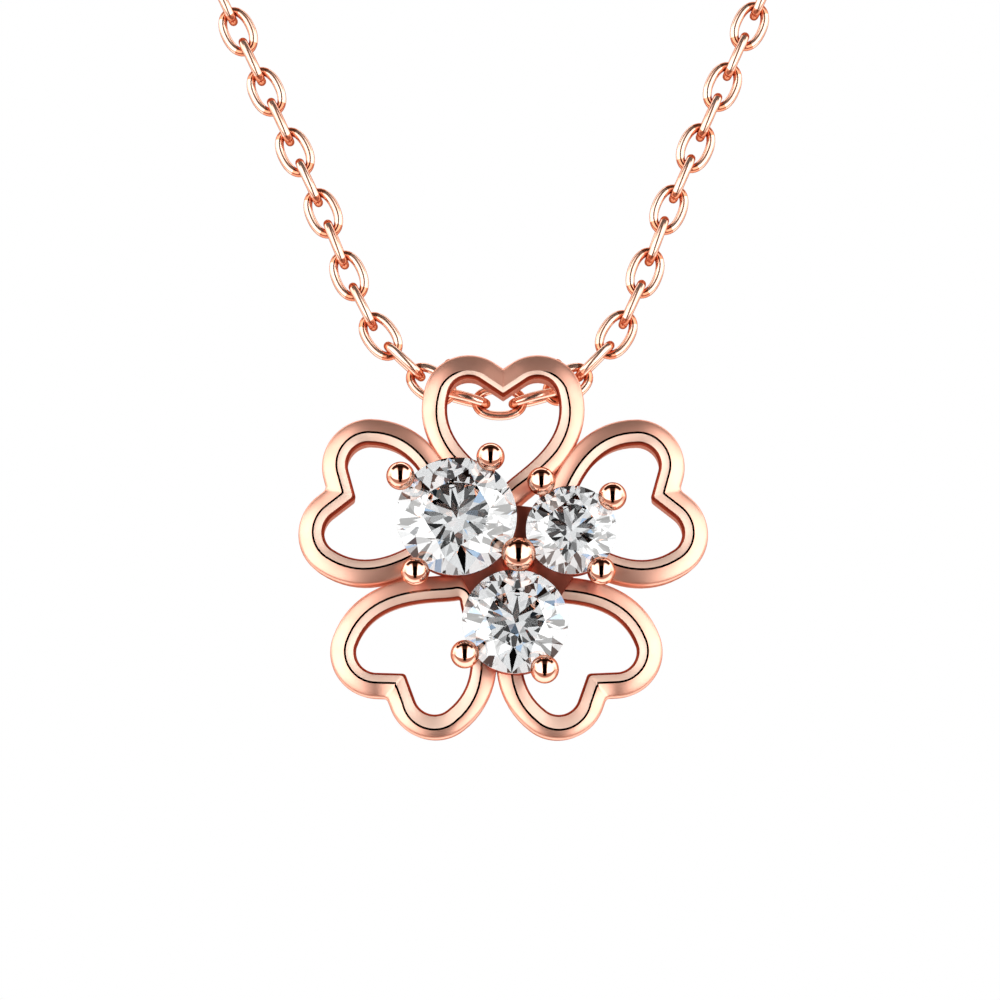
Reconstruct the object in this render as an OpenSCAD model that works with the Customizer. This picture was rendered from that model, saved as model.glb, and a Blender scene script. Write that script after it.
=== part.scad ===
// Five-petal flower pendant of open hearts with three round stones, hung on a cable chain.
// Frame: the origin is at the nape, +Z is up and the flower faces -Y. Millimetres.

/* [Heart petals] */
// Reach of a petal, from the flower's centre to the outer edge of its lobes
petal_reach = 6.67; // [6.2:0.01:8]
// Outer width of a heart at its widest
petal_w = 5.44; // [5:0.01:6]
// Radius of a heart's lobe along the middle of the band
lobe_r = 1.1; // [0.95:0.01:1.2]
// Depth of the notch between the lobes, along the middle of the band
notch_d = 0.57; // [0.4:0.01:0.8]
// Distance from the flower's centre to the middle of the band at the heart's point
petal_tip = 1.66; // [1.3:0.01:1.9]
// Radius of the heart's point along the middle of the band
tip_r = 0.5; // [0.5:0.01:0.7]
// Width of the band, seen from the front
band_w = 0.86; // [0.7:0.01:0.92]
// Depth of the band from front to back
band_d = 0.95; // [0.7:0.01:1.2]
// Height of the rounded front above the band's sides
band_crown = 0.26; // [0.15:0.01:0.35]
// Angle that each petal leans back from the flower's plane
petal_lean = 4; // [0:0.5:6]

/* [Stones] */
// Diameter of the large stone, upper left
large_d = 4.0; // [3.5:0.1:4.3]
// Diameter of the medium stone, bottom
medium_d = 3.5; // [3:0.1:3.8]
// Diameter of the small stone, right
small_d = 3.0; // [2.5:0.1:3.2]
// Height of the stones' girdles in front of the bands' middle
girdle_h = 1.15; // [1:0.01:1.4]
// Gap between a stone and the metal round it
seat_gap = 0.04; // [0.03:0.01:0.08]

/* [Prongs] */
// Radius of the bead on a prong
bead_r = 0.47; // [0.4:0.01:0.52]
// Radius of the bead on the prong that all three stones share
shared_bead_r = 0.57; // [0.5:0.01:0.62]
// Radius of a prong's post
post_r = 0.24; // [0.18:0.01:0.28]
// Height of the beads' centres above the girdles
bead_rise = 0.3; // [0.2:0.01:0.4]
// Distance from a stone's edge in to its gallery rail
rail_in = 0.12; // [0.08:0.01:0.16]
// Width of the gallery rail under each stone, measured along its radius
rail_w = 0.45; // [0.35:0.01:0.5]
// Height of the gallery rail
rail_h = 0.42; // [0.38:0.01:0.5]
// How far the web between the rails reaches out past the lines between the stones' centres
web_out = 0.78; // [0.6:0.01:1]
// Thickness of the web
web_h = 0.28; // [0.2:0.01:0.36]

/* [Bail loops] */
// Radius of the opening in a bail loop
bail_r = 0.8; // [0.78:0.01:0.85]
// Thickness of a bail loop's wire
bail_wire = 0.26; // [0.22:0.01:0.3]
// Distance from the top heart's side in to the bail loop behind it
bail_inset = 0.54; // [0.5:0.01:0.6]
// Distance from the top heart's upper edge down to the middle of the bail loops
bail_drop = 0.75; // [0.7:0.01:0.85]
// Angle by which each loop leans inwards along its band
bail_slant = 24; // [15:1:28]
// Gap between the chain and the back of the band in front of it
bail_gap = 0.1; // [0.08:0.01:0.2]
// Angle at which the pendant hangs, its lower end back
hang_tilt = 4; // [0:0.5:6]
// Distance from the chain's middle to the flower's centre, to the right
flower_x = 0.05; // [0:0.01:0.1]

/* [Chain] */
// Distance from one link's centre to the next
link_pitch = 1.22; // [1.2:0.01:1.24]
// Outer width of a link
link_w = 1.22; // [1.18:0.01:1.24]
// Thickness of a link's wire
link_wire = 0.25; // [0.22:0.01:0.26]
// Gap between one link and the next
link_gap = 0.19; // [0.16:0.01:0.2]
// Number of links to either side of the middle one that are made singly
side_links = 17; // [15:1:18]
// Roll of the links about the strand
link_roll = 8; // [0:1:15]

/* [Clasp] */
// Outer diameter of the clasp's ring
clasp_d = 5.5; // [5:0.1:6]
// Thickness of the clasp's ring
clasp_wire = 1.1; // [0.9:0.1:1.3]
// Outer diameter of the eyes on the clasp
eye_d = 2.0; // [1.8:0.1:2.2]
// Thickness of the eyes
eye_wire = 0.45; // [0.4:0.05:0.5]
// Gap between an eye and the chain's end
end_gap = 0.2; // [0.15:0.05:0.3]

/* [Hidden] */
rose_gold = [0.87, 0.60, 0.50];
stone_white = [0.93, 0.95, 0.98];

// Chain's middle line on the right, from the sag behind the top heart round to the nape
ROUTE = [
    [0, -100, -117.5], [1.2, -100, -117.35], [2.2, -100, -116.93], [3.1, -100, -116.15],
    [3.9, -100, -115.2], [5.9, -100, -110.3], [9, -100, -103], [19.2, -100, -80], [30, -97, -58],
    [40, -89, -38], [48, -75, -23], [53, -56, -13], [50, -35, -7], [40, -16, -3],
    [22, -3, -1], [6, 0, 0], [0, 0, 0]];
// How much wider the left strand stands at each of these points
LEFT_WIDER = [0, 0, 0, 0, 0.1, 0.3, 0.5, 0.8, 0.4, 0, 0, 0, 0, 0, 0, 0, 0];
hinge = [0, -100, -116.9];
route_steps = 8;

// Petals by angle, length and width as shares, extra lean back, and shift as shares of the reach
P_ANGLE = 0;
P_LONG = 1;
P_WIDE = 2;
P_LEAN = 3;
P_SHIFT = 4;
PETALS = [
    [90, 1.01, 0.99, 1, [0.011, -0.012]],
    [161.6, 1.01, 1.044, 0, [0.014, -0.003]],
    [18.2, 1.01, 1.044, 0, [0.008, -0.003]],
    [234, 0.994, 1.017, 0, [-0.025, -0.03]],
    [306.8, 0.994, 1.017, 0, [-0.028, -0.036]]];

// Stones by diameter and by direction from the shared prong
S_DIAMETER = 0;
S_TOWARDS = 1;
LARGE = 0;
MEDIUM = 1;
SMALL = 2;
STONES = [[large_d, 146.6], [medium_d, 267.2], [small_d, 27]];
shared_prong = [0.58, -0.63];
shared_gap = 0.46;
foot_lean = 0.2;
// How far the shared prong's foot reaches into the gallery rails round it
foot_grip = 0.16;

// Prongs by stone, by angle about it, and by how far the bead's centre stands outside the
// girdle, as a share of the bead's radius
R_STONE = 0;
R_ANGLE = 1;
R_OUT = 2;
PRONGS = [
    [LARGE, 145, 0.58], [LARGE, 60, 0.54], [LARGE, 235, 0.8],
    [SMALL, 122, 0.78], [SMALL, 38, 0.5], [SMALL, 304, 0.55],
    [MEDIUM, 215, 0.6], [MEDIUM, 300, 0.38]];

// Round brilliant cut, as shares of the stone's radius
table_share = 0.56;
star_share = 0.78;
crown_share = 0.31;
girdle_share = 0.05;
pavilion_share = 0.86;
lower_share = 0.22;

// Heart's outline: where the lobe and the point end, and how full the side between them is
shoulder_angle = 74;
tip_angle = 42;
side_bulge = 0.02;
side_top_pull = 0.6;
side_tip_pull = 0.18;
lobe_steps = 8;
side_steps = 7;
tip_steps = 2;
lobe_u = petal_reach - band_w / 2 - lobe_r;
lobe_v = petal_w / 2 - band_w / 2 - lobe_r - side_bulge;
notch_u = lobe_u + lobe_r - notch_d;

// Band's section: the back's share of half the width, then the rounded front from its edge to its
// middle, as shares of half the width and of the crown
back_share = 0.85;
CROWN = [[1, 0], [0.76, 0.55], [0.38, 0.9], [0, 1]];

// Room beyond a stone's table and culet, and the number of sides that round shapes are made with
seat_room = 0.1;
post_sides = 12;
bead_sides = 16;
rail_sides = 28;
loop_sides = 20;
loop_wire_sides = 8;
clasp_sides = 40;
clasp_wire_sides = 20;
eye_sides = 24;
eye_wire_sides = 14;

link_len = link_pitch + 2 * link_wire + link_gap;
link_sides = 12;
wire_sides = 6;
oval_power = 0.85;
oval_step = 2;
tube_sides = 8;
tube_rings = 36;
tube_step = 0.5;
tube_up = [0, 0.3, 1];
eye_at = clasp_d / 2 + eye_d / 2 - eye_wire;
bail_span = petal_w - 2 * bail_inset;
bail_h = petal_reach * (PETALS[0][P_LONG] + PETALS[0][P_SHIFT][1]) - bail_drop;
bail_lean = petal_lean + PETALS[0][P_LEAN];
bail_back = bail_h * sin(bail_lean) + (band_d / 2 + bail_gap + link_w / 2) / cos(bail_lean);
bail_x = PETALS[0][P_SHIFT][0] * petal_reach;

function unit(v) = v / norm(v);
function bezier(a, b, c, d, t) =
    a * pow(1 - t, 3) + b * 3 * t * pow(1 - t, 2) + c * 3 * t * t * (1 - t) + d * pow(t, 3);

// Middle line of one half of a heart, from its notch over the lobe to its point
function lobe_start() =
    let (reach = [notch_u - lobe_u, -lobe_v])
    atan2(reach[1], reach[0]) + acos(lobe_r / norm(reach));
function lobe_line() =
    [for (i = [0:lobe_steps])
        let (a = lobe_start() + (shoulder_angle - lobe_start()) * i / lobe_steps)
        [lobe_u + lobe_r * cos(a), lobe_v + lobe_r * sin(a)]];
function tip_point(a) = [petal_tip + tip_r + tip_r * cos(a), tip_r * sin(a)];
function side_line() =
    let (a = shoulder_angle, top = [lobe_u, lobe_v] + lobe_r * [cos(a), sin(a)],
         low = tip_point(90 + tip_angle), span = lobe_u - petal_tip,
         down = side_top_pull * span * [-sin(a), cos(a)],
         up = side_tip_pull * span * [cos(tip_angle), sin(tip_angle)])
    [for (i = [1:side_steps]) bezier(top, top + down, low + up, low, i / side_steps)];
function tip_line() =
    [for (i = [1:tip_steps]) tip_point(90 + tip_angle + (90 - tip_angle) * i / tip_steps)];
function half_heart() = concat(lobe_line(), side_line(), tip_line());

// Band's section, as its offset outwards and its height towards the front
function band_section() =
    let (half = band_w / 2, back = -band_d / 2, side = band_d / 2 - band_crown)
    concat([[back_share * half, back]],
           [for (c = CROWN) [c[0] * half, side + c[1] * band_crown]],
           [for (i = [len(CROWN) - 2:-1:0]) [-CROWN[i][0] * half, side + CROWN[i][1] * band_crown]],
           [[-back_share * half, back]]);

// Rings of the band round a whole heart, each a list of points, mitred at the notch
function band_ring(at, out) =
    [for (s = band_section()) [at[0] + s[0] * out[0], at[1] + s[0] * out[1], s[1]]];
function half_rings() =
    let (line = half_heart(), last = len(line) - 1)
    [for (i = [0:last])
        let (ahead = line[min(i + 1, last)], behind = i == 0 ? [notch_u, 0] : line[i - 1],
             along = i == last ? [0, -1] : unit(ahead - behind))
        band_ring(line[i], [along[1], -along[0]])];
function notch_ring() =
    let (along = unit(half_heart()[0] - [notch_u, 0]))
    band_ring([notch_u, 0], [1 / along[1], 0]);
function mirrored(ring) = [for (p = ring) [p[0], -p[1], p[2]]];
function heart_rings() =
    let (half = half_rings())
    concat([notch_ring()], half, [for (i = [len(half) - 2:-1:0]) mirrored(half[i])]);

// Closed skin over rings of equal length, either joined end to end or capped
module skin(rings, closed) {
    n = len(rings[0]);
    count = len(rings);
    joins = closed ? count : count - 1;
    walls = [for (i = [0:joins - 1], j = [0:n - 1])
        let (a = i * n, b = ((i + 1) % count) * n, k = (j + 1) % n)
        [a + j, a + k, b + k, b + j]];
    caps = closed ? [] : [[for (j = [n - 1:-1:0]) j], [for (j = [0:n - 1]) (count - 1) * n + j]];
    polyhedron([for (r = rings, p = r) p], concat(walls, caps), convexity = 6);
}

// Places what is drawn facing +Z, with the flower's centre at the origin, where it hangs
module hung() {
    translate(hinge) rotate([90 + hang_tilt, 0, 0]) translate([flower_x, -bail_h, bail_back]) children();
}

function stone_place(k) =
    let (s = STONES[k], r = s[S_DIAMETER] / 2 + shared_gap)
    shared_prong + r * [cos(s[S_TOWARDS]), sin(s[S_TOWARDS])];
function prong_place(p) =
    let (r = STONES[p[R_STONE]][S_DIAMETER] / 2 + p[R_OUT] * bead_r)
    stone_place(p[R_STONE]) + r * [cos(p[R_ANGLE]), sin(p[R_ANGLE])];

module heart_petal(p) {
    translate([p[P_SHIFT][0], p[P_SHIFT][1], 0] * petal_reach)
        rotate([0, petal_lean + p[P_LEAN], p[P_ANGLE]]) scale([p[P_LONG], p[P_WIDE], 1])
            skin(heart_rings(), true);
}

// A post that leans in from its bead to a foot on the gallery
module prong(at, foot, bead, foot_r) {
    hull() {
        translate([at[0], at[1], girdle_h + bead_rise]) sphere(post_r, $fn = post_sides);
        translate([foot[0], foot[1], 0]) sphere(foot_r, $fn = post_sides);
    }
    translate([at[0], at[1], girdle_h + bead_rise]) sphere(bead, $fn = bead_sides);
}

module gallery_rail(k) {
    r = STONES[k][S_DIAMETER] / 2;
    at = stone_place(k);
    translate([at[0], at[1], band_d / 2 - rail_h / 2])
        rotate_extrude($fn = rail_sides) translate([r - rail_in - rail_w, 0]) square([rail_w, rail_h]);
}

// Flat web that joins the three rails, open under each stone
module gallery_web() {
    translate([0, 0, band_d / 2 - (rail_h + web_h) / 2]) difference() {
        linear_extrude(web_h) offset(r = web_out, $fn = rail_sides)
            polygon([for (k = [LARGE, MEDIUM, SMALL]) stone_place(k)]);
        for (k = [LARGE, MEDIUM, SMALL]) {
            at = stone_place(k);
            translate([at[0], at[1], -web_h])
                cylinder(r = STONES[k][S_DIAMETER] / 2 - rail_in - rail_w / 2, h = 3 * web_h,
                         $fn = rail_sides);
        }
    }
}

// Space that a stone takes in the metal, with its gap
module stone_seat(k) {
    r = STONES[k][S_DIAMETER] / 2 + seat_gap;
    at = stone_place(k);
    rise = crown_share * r;
    translate([at[0], at[1], girdle_h]) rotate_extrude($fn = rail_sides)
        polygon([[0, -pavilion_share * r - seat_room], [r, -girdle_share * r],
                 [r, girdle_share * r], [table_share * r, rise + seat_room],
                 [0, rise + seat_room]]);
}

module bail_loop(side) {
    translate([bail_x + side * bail_span / 2, bail_h, -bail_back])
        rotate([0, 0, side * bail_slant]) rotate([0, 90, 0])
        rotate_extrude($fn = loop_sides) translate([bail_r + bail_wire / 2, 0])
            circle(d = bail_wire, $fn = loop_wire_sides);
}

module pendant_frame() {
    color(rose_gold) hung() difference() {
        union() {
            for (p = PETALS) heart_petal(p);
            for (k = [LARGE, MEDIUM, SMALL]) gallery_rail(k);
            gallery_web();
            for (p = PRONGS) {
                at = prong_place(p);
                centre = stone_place(p[R_STONE]);
                prong(at, at + foot_lean * (centre - at), bead_r, post_r);
            }
            prong(shared_prong, shared_prong, shared_bead_r, shared_gap + rail_in + foot_grip);
            for (side = [-1, 1]) bail_loop(side);
        }
        for (k = [LARGE, MEDIUM, SMALL]) stone_seat(k);
    }
}

// Round brilliant: table, stars, kites, upper halves, girdle, lower halves and pavilion mains
module brilliant(d) {
    r = d / 2;
    crown = crown_share * r;
    edge = girdle_share * r / 2;
    depth = pavilion_share * r;
    star = star_share * r;
    lower = lower_share * r;
    flat = cos(22.5);
    star_h = crown - (star * flat - table_share * r) / (r - table_share * r) * (crown - edge);
    lower_h = -edge - (depth - edge) * (1 - lower * flat / r);
    tops = [for (k = [0:7]) [table_share * r * cos(45 * k), table_share * r * sin(45 * k), crown]];
    stars = [for (k = [0:7]) [star * cos(45 * k + 22.5), star * sin(45 * k + 22.5), star_h]];
    rim = [for (h = [edge, -edge], j = [0:15]) [r * cos(22.5 * j), r * sin(22.5 * j), h]];
    lows = [for (k = [0:7]) [lower * cos(45 * k + 22.5), lower * sin(45 * k + 22.5), lower_h]];
    // Where each list of points starts: table t, stars m, girdle's top g and foot h, lows p
    t = 0;
    m = 8;
    g = 16;
    h = 32;
    p = 48;
    culet = 56;
    faces = concat(
        [[for (k = [7:-1:0]) t + k]],
        [for (k = [0:7]) [t + k, t + (k + 1) % 8, m + k]],
        [for (k = [0:7]) [t + k, m + k, g + 2 * k, m + (k + 7) % 8]],
        [for (k = [0:7], i = [0, 1]) [m + k, g + (2 * k + i + 1) % 16, g + 2 * k + i]],
        [for (j = [0:15]) [g + j, g + (j + 1) % 16, h + (j + 1) % 16, h + j]],
        [for (k = [0:7], i = [0, 1]) [p + k, h + 2 * k + i, h + (2 * k + i + 1) % 16]],
        [for (k = [0:7]) [culet, p + (k + 7) % 8, h + 2 * k, p + k]]);
    polyhedron(concat(tops, stars, rim, lows, [[0, 0, -depth]]), faces, convexity = 2);
}

module stone(k) {
    at = stone_place(k);
    color(stone_white) hung() translate([at[0], at[1], girdle_h]) brilliant(STONES[k][S_DIAMETER]);
}

// The route as a smooth line from the nape on the left round to the nape on the right
function whole_route() =
    concat([for (i = [len(ROUTE) - 1:-1:1])
        [-ROUTE[i][0] - LEFT_WIDER[i], ROUTE[i][1], ROUTE[i][2]]], ROUTE);
function smooth(p, i, t) =
    let (a = p[max(i - 1, 0)], b = p[i], c = p[i + 1], d = p[min(i + 2, len(p) - 1)],
         step = norm(c - b), before = max(norm(b - a), 0.001), after = max(norm(d - c), 0.001),
         out = step * ((c - b) / step + (b - a) / before) / 2,
         into = step * ((d - c) / after + (c - b) / step) / 2)
    bezier(b, b + out / 3, c - into / 3, c, t);
LINE = let (p = whole_route())
    concat([for (i = [0:len(p) - 2], k = [0:route_steps - 1]) smooth(p, i, k / route_steps)],
           [p[len(p) - 1]]);
function add_up(v, i = 0, total = 0, made = []) =
    i == len(v) ? made : add_up(v, i + 1, total + v[i], concat(made, [total + v[i]]));
RUN = add_up(concat([0], [for (i = [1:len(LINE) - 1]) norm(LINE[i] - LINE[i - 1])]));
chain_length = RUN[len(RUN) - 1];
left_length = RUN[(len(ROUTE) - 1) * route_steps];
function on_route(s) =
    [for (axis = [0:2])
        lookup(s + left_length, [for (i = [0:len(RUN) - 1]) [RUN[i], LINE[i][axis]]])];

// One oval link, long along X, with its flat face towards Z
function oval(a) =
    let (c = cos(a), s = sin(a))
    [(link_len - link_wire) / 2 * sign(c) * pow(abs(c), oval_power),
     (link_w - link_wire) / 2 * sign(s) * pow(abs(s), oval_power)];
module link() {
    rings = [for (i = [0:link_sides - 1])
        let (a = 360 * (i + 0.5) / link_sides, at = oval(a),
             along = unit(oval(a + oval_step) - oval(a - oval_step)), out = [along[1], -along[0]])
        [for (j = [0:wire_sides - 1])
            let (b = 360 * j / wire_sides, r = link_wire / 2)
            [at[0] + r * cos(b) * out[0], at[1] + r * cos(b) * out[1], r * sin(b)]]];
    skin(rings, true);
}

// Turns X along the strand, with the strand's side towards the front kept level
module along_route(i) {
    at = on_route(i * link_pitch);
    way = unit(on_route((i + 0.5) * link_pitch) - on_route((i - 0.5) * link_pitch));
    side = unit(cross([0, -1, 0], way));
    front = cross(way, side);
    multmatrix([[way[0], side[0], front[0], at[0]], [way[1], side[1], front[1], at[1]],
                [way[2], side[2], front[2], at[2]], [0, 0, 0, 1]]) children();
}

module chain_front() {
    color(rose_gold) for (i = [-side_links:side_links])
        along_route(i) rotate([link_roll + (i % 2 == 0 ? 0 : 90), 0, 0]) link();
}

// The rest of the chain, a tube of the chain's own width on each side
module chain_back() {
    start = side_links * link_pitch + link_len / 2 + link_gap;
    color(rose_gold) for (side = [-1, 1]) {
        whole = side < 0 ? left_length : chain_length - left_length;
        end = whole - eye_at - eye_d / 2 - end_gap;
        skin([for (i = [0:tube_rings - 1])
            let (s = start + (end - start) * i / (tube_rings - 1), at = on_route(side * s),
                 way = unit(on_route(side * (s + tube_step)) - on_route(side * (s - tube_step))),
                 flat = unit(cross(tube_up, way)), up = cross(way, flat))
            [for (j = [0:tube_sides - 1])
                let (a = 360 * j / tube_sides) at + link_w / 2 * (cos(a) * flat + sin(a) * up)]],
            false);
    }
}

module clasp() {
    color(rose_gold) rotate([90, 0, 0]) {
        rotate_extrude($fn = clasp_sides) translate([(clasp_d - clasp_wire) / 2, 0])
            circle(d = clasp_wire, $fn = clasp_wire_sides);
        for (side = [-1, 1]) translate([side * eye_at, 0, 0])
            rotate_extrude($fn = eye_sides) translate([(eye_d - eye_wire) / 2, 0])
                circle(d = eye_wire, $fn = eye_wire_sides);
    }
}

pendant_frame();
stone(LARGE);  // stone_large
stone(MEDIUM);  // stone_medium
stone(SMALL);  // stone_small
chain_front();
chain_back();
clasp();
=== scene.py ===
# Rose-gold flower pendant of five open hearts round three brilliant stones, on an oval-link chain.
# Measures are in millimetres and angles in degrees. The flower's are in its own frame: its face
# looks along +Z, X runs to the right and Y up, and `HUNG` places it where the pendant hangs. The
# chain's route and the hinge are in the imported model's frame.
import math

import bmesh
import bpy
from mathutils import Matrix, Vector


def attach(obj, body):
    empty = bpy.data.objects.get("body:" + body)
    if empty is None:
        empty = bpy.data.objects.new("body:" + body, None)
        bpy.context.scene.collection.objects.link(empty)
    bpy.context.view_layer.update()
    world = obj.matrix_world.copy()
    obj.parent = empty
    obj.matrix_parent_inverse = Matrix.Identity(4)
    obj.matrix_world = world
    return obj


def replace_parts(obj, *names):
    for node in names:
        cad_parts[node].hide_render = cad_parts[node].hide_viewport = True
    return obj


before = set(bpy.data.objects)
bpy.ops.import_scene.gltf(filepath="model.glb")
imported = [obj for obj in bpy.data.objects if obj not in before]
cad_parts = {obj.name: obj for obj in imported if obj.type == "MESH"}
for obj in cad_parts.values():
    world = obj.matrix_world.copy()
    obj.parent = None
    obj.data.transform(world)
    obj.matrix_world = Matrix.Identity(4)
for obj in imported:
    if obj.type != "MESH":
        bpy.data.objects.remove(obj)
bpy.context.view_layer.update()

MM = 0.001

# Heart bands
PETAL_REACH = 6.67
PETAL_WIDTH = 5.44
LOBE_R = 1.1
NOTCH_D = 0.57
PETAL_TIP = 1.66
TIP_R = 0.5
BAND_W = 0.86
BAND_D = 0.95
PETAL_LEAN = 4
SHOULDER = 74
TIP_TURN = 42
SIDE_BULGE = 0.02
SIDE_TOP_PULL = 0.6
SIDE_TIP_PULL = 0.18
# Each petal's name, angle, length and width as shares, further lean back, shift as a share of the
# petal's reach, how far the crest of its first and second half lies lower on the flower where the
# band runs across it, and how round its notch is
PETALS = [
    ("top", 90, 1.01, 0.99, 1, (0.011, -0.012), (0.15, 0.15), 0.15),
    ("left", 161.6, 1.01, 1.044, 0, (0.014, -0.003), (0, 0), 1),
    ("right", 18.2, 1.01, 1.044, 0, (0.008, -0.003), (0, 0), 1),
    ("lower_left", 234, 0.994, 1.017, 0, (-0.025, -0.03), (0.18, 0), 1),
    ("lower_right", 306.8, 0.994, 1.017, 0, (-0.028, -0.036), (0, 0.18), 1),
]

# Stones by name, with their diameter and direction from the shared prong
GIRDLE_H = 1.15
SHARED_PRONG = Vector((0.58, -0.63))
SHARED_GAP = 0.46
STONES = {"large": (4.0, 146.6), "medium": (3.5, 267.2), "small": (3.0, 27.0)}
# Each stone's turn about its own axis
STONE_TURN = {"large": 8, "medium": -4, "small": 14}
SEAT_GAP = 0.03
SEAT_ROOM = 0.1
# Round brilliant cut, as shares of the stone's radius
GIRDLE_SHARE = 0.025
CROWN_SHARE = 0.31
PAVILION_SHARE = 0.86
TABLE_SHARE = 0.56
STAR_SHARE = 0.78
LOWER_SHARE = 0.22

# Beads and posts of the prongs, and the rails and web of the gallery
BEAD_R = 0.47
SHARED_BEAD_R = 0.57
POST_R = 0.2
BEAD_RISE = 0.3
FOOT_LEAN = 0.2
SHARED_FOOT_R = 0.74
RAIL_IN = 0.12
RAIL_W = 0.45
RAIL_H = 0.42
RAIL_ROUND = 0.09
WEB_OUT = 0.78
WEB_H = 0.28
# Prongs by stone, angle about it, and how far the bead stands out, as a share of its radius
PRONGS = [
    ("large", 145, 0.58), ("large", 60, 0.54), ("large", 235, 0.8),
    ("small", 122, 0.78), ("small", 38, 0.5), ("small", 304, 0.55),
    ("medium", 215, 0.6), ("medium", 300, 0.38),
]

# Bail loops and hang
BAIL_R = 0.76
BAIL_WIRE = 0.22
BAIL_INSET = 0.54
BAIL_DROP = 0.75
BAIL_SLANT = 24
BAIL_GAP = 0.1
HANG_TILT = 4
FLOWER_X = 0.05
HINGE = Vector((0, -100, -116.9))

# Chain: its links, and its middle line on the right from the sag to the nape
LINK_PITCH = 1.22
LINK_W = 1.22
LINK_WIRE = 0.31
LINK_SLACK = 0.03
LINK_ROLL = 8
# Below 1, a link's oval is fuller than an ellipse
LINK_FULLNESS = 0.9
# A link is painted a darker copper, as shade where it meets its neighbours, where it lies further
# out than this share of its half length
LINK_END = 0.75
FRONT_LINKS = 17
LAST_LINK = 181
LAST_LINK_FROM_NAPE = 4.4
ROUTE = [
    (0, -100, -117.5), (1.2, -100, -117.35), (2.2, -100, -116.93), (3.1, -100, -116.15),
    (3.9, -100, -115.2), (5.9, -100, -110.3), (9, -100, -103), (19.2, -100, -80),
    (30, -97, -58), (40, -89, -38), (48, -75, -23), (53, -56, -13), (50, -35, -7),
    (40, -16, -3), (22, -3, -1), (6, 0, 0), (0, 0, 0),
]
# How much wider the left strand stands at each point of the route
LEFT_WIDER = [0, 0, 0, 0, 0.1, 0.3, 0.5, 0.8, 0.4, 0, 0, 0, 0, 0, 0, 0, 0]

# How finely round forms are made, in steps or sides round a whole turn
CUTTER_SIDES = 96
RAIL_STEPS = 72
POST_SIDES = 24
BLANK_SIDES = 128
# Steps round a bead and from its top to its foot
BEAD_STEPS = (48, 32)
# Steps round a loop or link, and sides of its wire
BAIL_STEPS, BAIL_SIDES = 48, 16
FRONT_LINK_STEPS = (40, 14)
BACK_LINK_STEPS = (20, 8)
# Angles of the points along a rounded corner
CORNER_TURNS = (0, 22.5, 45, 67.5, 90)

_, _, TOP_LONG, _, TOP_LEAN, (TOP_X, TOP_Y), _, _ = PETALS[0]
BAIL_X = TOP_X * PETAL_REACH
BAIL_H = PETAL_REACH * (TOP_LONG + TOP_Y) - BAIL_DROP
BAIL_LEAN = math.radians(PETAL_LEAN + TOP_LEAN)
BAIL_BACK = (
    BAIL_H * math.sin(BAIL_LEAN)
    + (BAND_D / 2 + BAIL_GAP + LINK_W / 2) / math.cos(BAIL_LEAN)
)
HUNG = (
    Matrix.Scale(MM, 4)
    @ Matrix.Translation(HINGE)
    @ Matrix.Rotation(math.radians(90 + HANG_TILT), 4, "X")
    @ Matrix.Translation((FLOWER_X, -BAIL_H, BAIL_BACK))
)


def polar(angle, reach=1.0):
    return Vector((math.cos(math.radians(angle)), math.sin(math.radians(angle)))) * reach


def stone_place(stone):
    diameter, towards = STONES[stone]
    return SHARED_PRONG + polar(towards, diameter / 2 + SHARED_GAP)


# ---- Camera, at the photograph's view: below the pendant and looking up at it ----
PHOTO_SIDE = 1000
PX_PER_MM = 30
FLOWER_PX = (501, 545)
CAMERA_AWAY = 180
LOOK_UP = math.radians(17)
SENSOR = 36


def set_camera():
    ahead = Vector((0, math.cos(LOOK_UP), math.sin(LOOK_UP)))
    up = Vector((0, -math.sin(LOOK_UP), math.cos(LOOK_UP)))
    flower = HUNG @ Vector((0, 0, 0))
    beside = (PHOTO_SIDE / 2 - FLOWER_PX[0]) / PX_PER_MM
    above = (FLOWER_PX[1] - PHOTO_SIDE / 2) / PX_PER_MM
    data = bpy.data.cameras.new("camera")
    data.sensor_width = SENSOR
    data.lens = SENSOR * CAMERA_AWAY * PX_PER_MM / PHOTO_SIDE
    data.clip_start, data.clip_end = 0.01, 10
    camera = bpy.data.objects.new("camera", data)
    bpy.context.scene.collection.objects.link(camera)
    camera.location = flower + (Vector((beside, 0, 0)) + up * above - ahead * CAMERA_AWAY) * MM
    camera.rotation_euler = ahead.to_track_quat("-Z", "Y").to_euler()
    bpy.context.scene.camera = camera


set_camera()

# ---- Finishes ----
# Scale of the broad waves in a polish, as a share of the scale of its hairline marks
WAVE_SHARE = 0.12
# Height of a hairline mark, in metres
MARK_HEIGHT = 0.00001
COPPER_TINT = (0.62, 0.26, 0.16, 1)


def node_group(name, inputs, outputs):
    group = bpy.data.node_groups.new(name, "ShaderNodeTree")
    for label, kind, value in inputs:
        socket = group.interface.new_socket(label, in_out="INPUT", socket_type=kind)
        socket.default_value = value
    for label, kind in outputs:
        group.interface.new_socket(label, in_out="OUTPUT", socket_type=kind)
    return group, group.nodes.new("NodeGroupInput"), group.nodes.new("NodeGroupOutput")


def add(tree, kind, **values):
    """Adds a node. A value is named after a property or an input, or i0, i1 for an input's number.

    A value that is another node's socket is linked."""
    node = tree.nodes.new("ShaderNode" + kind)
    for key, value in values.items():
        linked = isinstance(value, bpy.types.NodeSocket)
        if key in node.bl_rna.properties and not linked:
            setattr(node, key, value)
            continue
        numbered = key[0] == "i" and key[1:].isdigit()
        target = node.inputs[int(key[1:]) if numbered else key.replace("_", " ")]
        if linked:
            tree.links.new(value, target)
        else:
            target.default_value = value
    return node


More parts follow.
